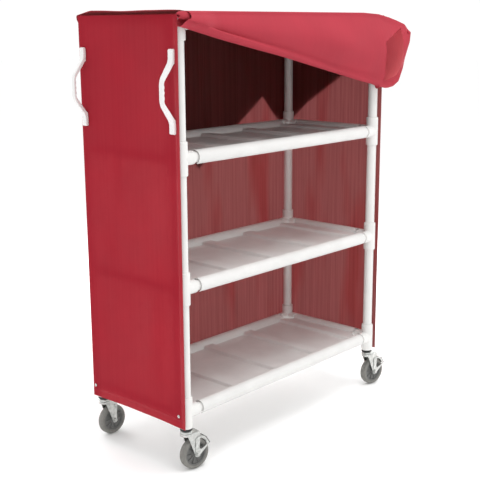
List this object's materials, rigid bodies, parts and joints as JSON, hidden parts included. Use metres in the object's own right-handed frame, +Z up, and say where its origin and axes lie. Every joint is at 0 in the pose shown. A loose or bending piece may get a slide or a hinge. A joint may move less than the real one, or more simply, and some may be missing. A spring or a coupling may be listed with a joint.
{
  "type": "linen trolley",
  "caption": "Wheeled linen trolley with a plastic-pipe frame, moulded shelves, a fabric cover thrown open over the top, pull handles, swivel casters and brake levers.",
  "frame": {"origin": "middle of the floor rectangle that the whole trolley covers, at floor level", "axes": "+Z up, +X along the length towards the end without handles, +Y from the open front to the covered back"},
  "size_m": [1.4622, 0.6134, 1.7407],
  "materials": {
    "pipe_plastic": "smooth white extruded pipe and moulded fittings",
    "shelf_plastic": "satin white thermoformed sheet",
    "handle_plastic": "smooth white moulding",
    "cover_fabric": "coated woven cloth, matt red, lets light through",
    "flap_fabric": "the same coated woven cloth, loose",
    "zinc": "bright zinc-plated pressed steel",
    "collar_plastic": "black moulded plastic",
    "tyre_rubber": "grey non-marking rubber",
    "core_plastic": "grey moulded plastic"
  },
  "bodies": {
    "root": {"post_front_left": "pipe_plastic", "post_front_right": "pipe_plastic", "post_rear_left": "pipe_plastic", "post_rear_right": "pipe_plastic", "end_rail_left_bottom": "pipe_plastic", "end_rail_left_middle": "pipe_plastic", "end_rail_left_upper": "pipe_plastic", "end_rail_left_top": "pipe_plastic", "end_rail_right_bottom": "pipe_plastic", "end_rail_right_middle": "pipe_plastic", "end_rail_right_upper": "pipe_plastic", "end_rail_right_top": "pipe_plastic", "rail_front_bottom": "pipe_plastic", "rail_front_middle": "pipe_plastic", "rail_front_upper": "pipe_plastic", "rail_front_top": "pipe_plastic", "rail_rear_bottom": "pipe_plastic", "rail_rear_middle": "pipe_plastic", "rail_rear_upper": "pipe_plastic", "rail_rear_top": "pipe_plastic", "shelf_bottom": "shelf_plastic", "shelf_middle": "shelf_plastic", "shelf_upper": "shelf_plastic", "handle_front": "handle_plastic", "handle_rear": "handle_plastic", "cover_top": "cover_fabric", "cover_back": "cover_fabric", "cover_end_left": "cover_fabric", "cover_end_right": "cover_fabric", "flap_fold": "flap_fabric", "flap_over_top": "flap_fabric", "flap_behind": "flap_fabric", "flap_at_end": "flap_fabric", "caster_insert_front_left": "collar_plastic", "caster_stem_front_left": "zinc", "caster_insert_rear_left": "collar_plastic", "caster_stem_rear_left": "zinc", "caster_insert_front_right": "collar_plastic", "caster_stem_front_right": "zinc", "caster_insert_rear_right": "collar_plastic", "caster_stem_rear_right": "zinc"},
    "swivel_front_left": {"caster_fork_front_left": "zinc", "caster_axle_front_left": "zinc"},
    "wheel_front_left": {"caster_tyre_front_left": "tyre_rubber", "caster_core_front_left": "core_plastic"},
    "brake_front_left": {"brake_lever_front_left": "zinc"},
    "swivel_rear_left": {"caster_fork_rear_left": "zinc", "caster_axle_rear_left": "zinc"},
    "wheel_rear_left": {"caster_tyre_rear_left": "tyre_rubber", "caster_core_rear_left": "core_plastic"},
    "swivel_front_right": {"caster_fork_front_right": "zinc", "caster_axle_front_right": "zinc"},
    "wheel_front_right": {"caster_tyre_front_right": "tyre_rubber", "caster_core_front_right": "core_plastic"},
    "brake_front_right": {"brake_lever_front_right": "zinc"},
    "swivel_rear_right": {"caster_fork_rear_right": "zinc", "caster_axle_rear_right": "zinc"},
    "wheel_rear_right": {"caster_tyre_rear_right": "tyre_rubber", "caster_core_rear_right": "core_plastic"}
  },
  "joints": [
    {"name": "swivel_turn_front_left", "type": "hinge", "parent": "root", "child": "swivel_front_left", "pos_m": [-0.64085, -0.22365, 0.15], "axis": [0, 0, 1], "continuous": true},
    {"name": "wheel_spin_front_left", "type": "hinge", "parent": "swivel_front_left", "child": "wheel_front_left", "pos_m": [-0.60515, -0.22829, 0.06296], "axis": [0.1288, 0.9917, 0], "continuous": true},
    {"name": "brake_press_front_left", "type": "hinge", "parent": "swivel_front_left", "child": "brake_front_left", "pos_m": [-0.60515, -0.22829, 0.06296], "axis": [0.1288, 0.9917, 0], "range_deg": [0, 12]},
    {"name": "swivel_turn_rear_left", "type": "hinge", "parent": "root", "child": "swivel_rear_left", "pos_m": [-0.64085, 0.26835, 0.15], "axis": [0, 0, 1], "continuous": true},
    {"name": "wheel_spin_rear_left", "type": "hinge", "parent": "swivel_rear_left", "child": "wheel_rear_left", "pos_m": [-0.60486, 0.26747, 0.06296], "axis": [0.0244, 0.9997, 0], "continuous": true},
    {"name": "swivel_turn_front_right", "type": "hinge", "parent": "root", "child": "swivel_front_right", "pos_m": [0.56615, -0.22365, 0.15], "axis": [0, 0, 1], "continuous": true},
    {"name": "wheel_spin_front_right", "type": "hinge", "parent": "swivel_front_right", "child": "wheel_front_right", "pos_m": [0.60161, -0.22984, 0.06296], "axis": [0.1719, 0.9851, 0], "continuous": true},
    {"name": "brake_press_front_right", "type": "hinge", "parent": "swivel_front_right", "child": "brake_front_right", "pos_m": [0.60161, -0.22984, 0.06296], "axis": [0.1719, 0.9851, 0], "range_deg": [0, 12]},
    {"name": "swivel_turn_rear_right", "type": "hinge", "parent": "root", "child": "swivel_rear_right", "pos_m": [0.56615, 0.26835, 0.15], "axis": [0, 0, 1], "continuous": true},
    {"name": "wheel_spin_rear_right", "type": "hinge", "parent": "swivel_rear_right", "child": "wheel_rear_right", "pos_m": [0.60201, 0.26521, 0.06296], "axis": [0.0872, 0.9962, 0], "continuous": true}
  ]
}
